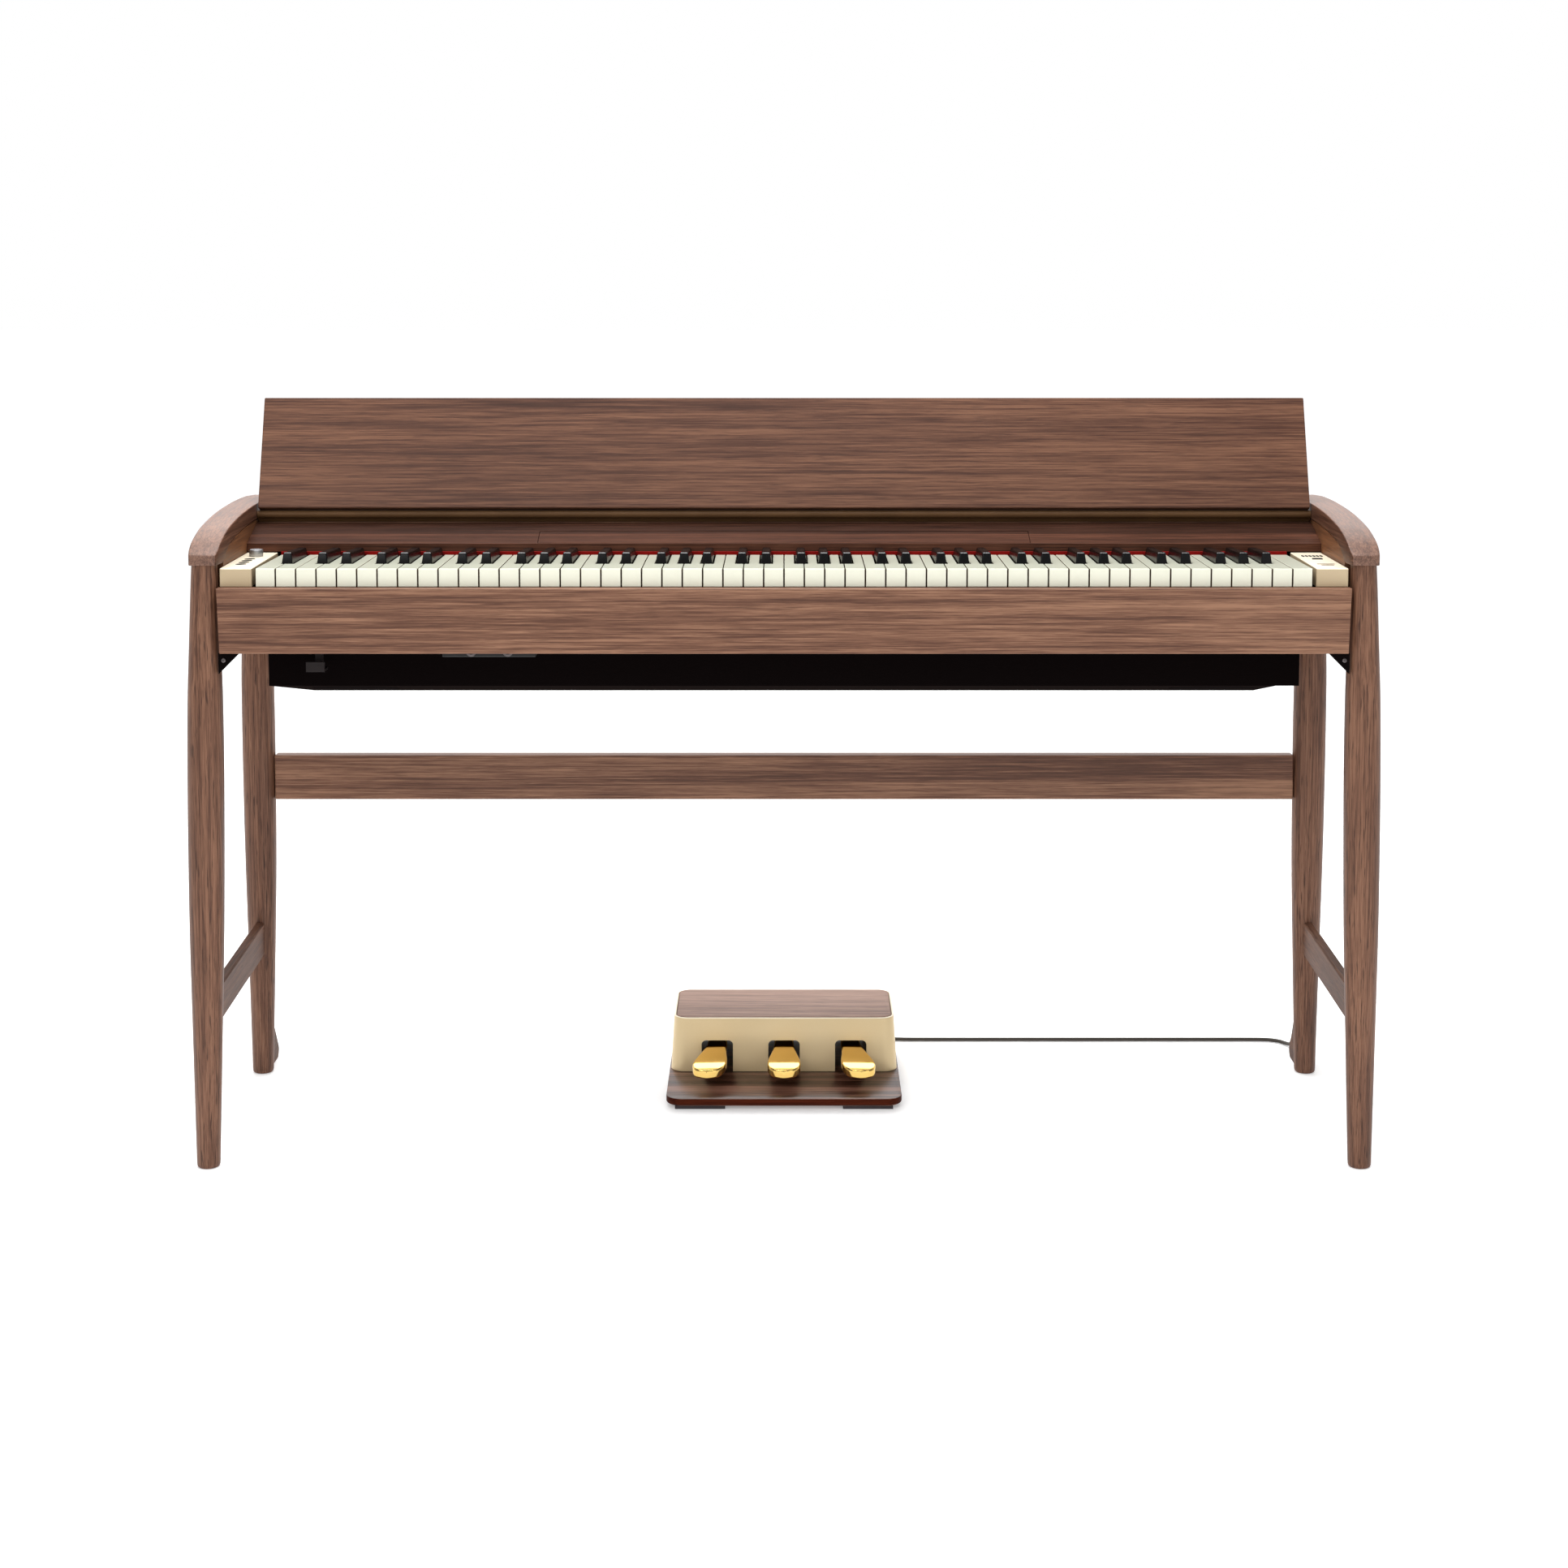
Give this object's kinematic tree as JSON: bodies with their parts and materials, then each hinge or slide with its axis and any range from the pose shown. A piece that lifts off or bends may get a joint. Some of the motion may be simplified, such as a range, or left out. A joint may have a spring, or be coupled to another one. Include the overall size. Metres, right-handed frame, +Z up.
{
  "type": "digital piano",
  "caption": "Slim digital piano on a round-legged walnut stand, with a two-part folding lid, a full weighted keyboard and a separate pedal unit on a cord.",
  "frame": {"origin": "centre of the bounding box at floor level, cord left out", "axes": "+X along the keyboard from bass to treble, +Y from the player to the back, +Z up"},
  "size_m": [1.4138, 0.5013, 0.8965],
  "materials": {
    "walnut": "satin",
    "dark_walnut": "satin",
    "side_wood": "satin",
    "champagne": "satin",
    "ivory": "satin",
    "ebony": "matte",
    "brass": "polished",
    "felt": "matte",
    "black_board": "matte",
    "black_plastic": "matte",
    "grey_metal": "brushed",
    "silver": "satin",
    "rubber": "matte",
    "cord": "satin"
  },
  "bodies": {
    "root": {"front_leg_left": "walnut", "front_leg_right": "walnut", "rear_leg_left": "walnut", "rear_leg_right": "walnut", "arm_left": "walnut", "arm_right": "walnut", "side_stretcher_left": "walnut", "side_stretcher_right": "walnut", "stabiliser_left": "walnut", "stabiliser_right": "walnut", "corner_bracket_left": "black_plastic", "corner_bracket_right": "black_plastic", "rear_crossbar": "walnut", "front_rail": "walnut", "keybed": "black_board", "side_panel_left": "side_wood", "side_panel_right": "side_wood", "rear_cover": "walnut", "speaker_box": "black_board", "speaker_left": "black_plastic", "speaker_right": "black_plastic", "control_block_left": "champagne", "control_block_right": "champagne", "name_panel": "dark_walnut", "felt_strip": "felt", "headphone_hook": "grey_metal", "jack_box": "black_plastic", "lid_hinge_rail": "dark_walnut", "pedal_base": "dark_walnut", "pedal_housing": "champagne", "pedal_top": "walnut", "pedal_axle": "grey_metal", "rubber_foot_left": "rubber", "rubber_foot_right": "rubber", "pedal_cord": "cord", "pedal_plug": "black_plastic"},
    "lid_main": {"lid_main": "walnut"},
    "lid_flap": {"lid_flap": "walnut"},
    "music_ledge": {"music_ledge": "dark_walnut"},
    "volume_knob": {"volume_knob": "silver"},
    "power_button": {"power_button": "black_plastic"},
    "pedal_left": {"pedal_left": "brass"},
    "pedal_middle": {"pedal_middle": "brass"},
    "pedal_right": {"pedal_right": "brass"},
    "key_c4": {"key_c4": "ivory"},
    "key_d4": {"key_d4": "ivory"},
    "key_e4": {"key_e4": "ivory"},
    "key_f4": {"key_f4": "ivory"},
    "key_g4": {"key_g4": "ivory"},
    "key_a4": {"key_a4": "ivory"},
    "key_b4": {"key_b4": "ivory"},
    "key_c_sharp4": {"key_c_sharp4": "ebony"},
    "key_d_sharp4": {"key_d_sharp4": "ebony"},
    "key_f_sharp4": {"key_f_sharp4": "ebony"},
    "key_g_sharp4": {"key_g_sharp4": "ebony"},
    "key_a_sharp4": {"key_a_sharp4": "ebony"},
    "bass_white_keys": {"bass_white_keys": "ivory"},
    "treble_white_keys": {"treble_white_keys": "ivory"},
    "bass_black_keys": {"bass_black_keys": "ebony"},
    "treble_black_keys": {"treble_black_keys": "ebony"}
  },
  "joints": [
    {"name": "lid_hinge", "type": "hinge", "parent": "root", "child": "lid_main", "pos_m": [0, -0.0009, 0.755], "axis": [1, 0, 0], "range_deg": [0, 117]},
    {"name": "flap_hinge", "type": "hinge", "parent": "lid_main", "child": "lid_flap", "pos_m": [0, 0.06086, 0.89172], "axis": [1, 0, 0], "range_deg": [0, 180]},
    {"name": "ledge_hinge", "type": "hinge", "parent": "root", "child": "music_ledge", "pos_m": [0, -0.05634, 0.72441], "axis": [-1, 0, 0], "range_deg": [-80, 0]},
    {"name": "knob_turn", "type": "hinge", "parent": "root", "child": "volume_knob", "pos_m": [-0.635, -0.1004, 0.7145], "axis": [0, 0, -1], "range_deg": [-150, 150]},
    {"name": "power_press", "type": "slide", "parent": "root", "child": "power_button", "axis": [0, 0, -1], "range_m": [0, 0.001], "stiffness_N_per_m": 600, "springref_m": -0.0008},
    {"name": "pedal_left_press", "type": "hinge", "parent": "root", "child": "pedal_left", "pos_m": [-0.087, 0.1776, 0.043], "axis": [1, 0, 0], "range_deg": [0, 5], "stiffness_Nm_per_rad": 4, "springref_deg": -20.05},
    {"name": "pedal_middle_press", "type": "hinge", "parent": "root", "child": "pedal_middle", "pos_m": [0, 0.1776, 0.043], "axis": [1, 0, 0], "range_deg": [0, 5], "stiffness_Nm_per_rad": 4, "springref_deg": -20.05},
    {"name": "pedal_right_press", "type": "hinge", "parent": "root", "child": "pedal_right", "pos_m": [0.087, 0.1776, 0.043], "axis": [1, 0, 0], "range_deg": [0, 5], "stiffness_Nm_per_rad": 4, "springref_deg": -20.05},
    {"name": "key_c4_press", "type": "hinge", "parent": "root", "child": "key_c4", "pos_m": [-0.0589, 0.0076, 0.6965], "axis": [1, 0, 0], "range_deg": [0, 2.6], "stiffness_Nm_per_rad": 0.5, "springref_deg": -22.92},
    {"name": "key_d4_press", "type": "hinge", "parent": "root", "child": "key_d4", "pos_m": [-0.03534, 0.0076, 0.6965], "axis": [1, 0, 0], "range_deg": [0, 2.6], "stiffness_Nm_per_rad": 0.5, "springref_deg": -22.92},
    {"name": "key_e4_press", "type": "hinge", "parent": "root", "child": "key_e4", "pos_m": [-0.01178, 0.0076, 0.6965], "axis": [1, 0, 0], "range_deg": [0, 2.6], "stiffness_Nm_per_rad": 0.5, "springref_deg": -22.92},
    {"name": "key_f4_press", "type": "hinge", "parent": "root", "child": "key_f4", "pos_m": [0.01178, 0.0076, 0.6965], "axis": [1, 0, 0], "range_deg": [0, 2.6], "stiffness_Nm_per_rad": 0.5, "springref_deg": -22.92},
    {"name": "key_g4_press", "type": "hinge", "parent": "root", "child": "key_g4", "pos_m": [0.03534, 0.0076, 0.6965], "axis": [1, 0, 0], "range_deg": [0, 2.6], "stiffness_Nm_per_rad": 0.5, "springref_deg": -22.92},
    {"name": "key_a4_press", "type": "hinge", "parent": "root", "child": "key_a4", "pos_m": [0.0589, 0.0076, 0.6965], "axis": [1, 0, 0], "range_deg": [0, 2.6], "stiffness_Nm_per_rad": 0.5, "springref_deg": -22.92},
    {"name": "key_b4_press", "type": "hinge", "parent": "root", "child": "key_b4", "pos_m": [0.08246, 0.0076, 0.6965], "axis": [1, 0, 0], "range_deg": [0, 2.6], "stiffness_Nm_per_rad": 0.5, "springref_deg": -22.92},
    {"name": "key_c_sharp4_press", "type": "hinge", "parent": "root", "child": "key_c_sharp4", "pos_m": [-0.04948, 0.0076, 0.6965], "axis": [1, 0, 0], "range_deg": [0, 2.6], "stiffness_Nm_per_rad": 0.3, "springref_deg": -22.92},
    {"name": "key_d_sharp4_press", "type": "hinge", "parent": "root", "child": "key_d_sharp4", "pos_m": [-0.0212, 0.0076, 0.6965], "axis": [1, 0, 0], "range_deg": [0, 2.6], "stiffness_Nm_per_rad": 0.3, "springref_deg": -22.92},
    {"name": "key_f_sharp4_press", "type": "hinge", "parent": "root", "child": "key_f_sharp4", "pos_m": [0.02019, 0.0076, 0.6965], "axis": [1, 0, 0], "range_deg": [0, 2.6], "stiffness_Nm_per_rad": 0.3, "springref_deg": -22.92},
    {"name": "key_g_sharp4_press", "type": "hinge", "parent": "root", "child": "key_g_sharp4", "pos_m": [0.04712, 0.0076, 0.6965], "axis": [1, 0, 0], "range_deg": [0, 2.6], "stiffness_Nm_per_rad": 0.3, "springref_deg": -22.92},
    {"name": "key_a_sharp4_press", "type": "hinge", "parent": "root", "child": "key_a_sharp4", "pos_m": [0.07405, 0.0076, 0.6965], "axis": [1, 0, 0], "range_deg": [0, 2.6], "stiffness_Nm_per_rad": 0.3, "springref_deg": -22.92},
    {"name": "bass_white_keys_press", "type": "hinge", "parent": "root", "child": "bass_white_keys", "pos_m": [0, 0.0076, 0.6965], "axis": [1, 0, 0], "range_deg": [0, 2.6], "stiffness_Nm_per_rad": 11.5, "springref_deg": -22.92},
    {"name": "treble_white_keys_press", "type": "hinge", "parent": "root", "child": "treble_white_keys", "pos_m": [0, 0.0076, 0.6965], "axis": [1, 0, 0], "range_deg": [0, 2.6], "stiffness_Nm_per_rad": 11, "springref_deg": -22.92},
    {"name": "bass_black_keys_press", "type": "hinge", "parent": "root", "child": "bass_black_keys", "pos_m": [0, 0.0076, 0.6965], "axis": [1, 0, 0], "range_deg": [0, 2.6], "stiffness_Nm_per_rad": 4.8, "springref_deg": -22.92},
    {"name": "treble_black_keys_press", "type": "hinge", "parent": "root", "child": "treble_black_keys", "pos_m": [0, 0.0076, 0.6965], "axis": [1, 0, 0], "range_deg": [0, 2.6], "stiffness_Nm_per_rad": 4.5, "springref_deg": -22.92}
  ]
}
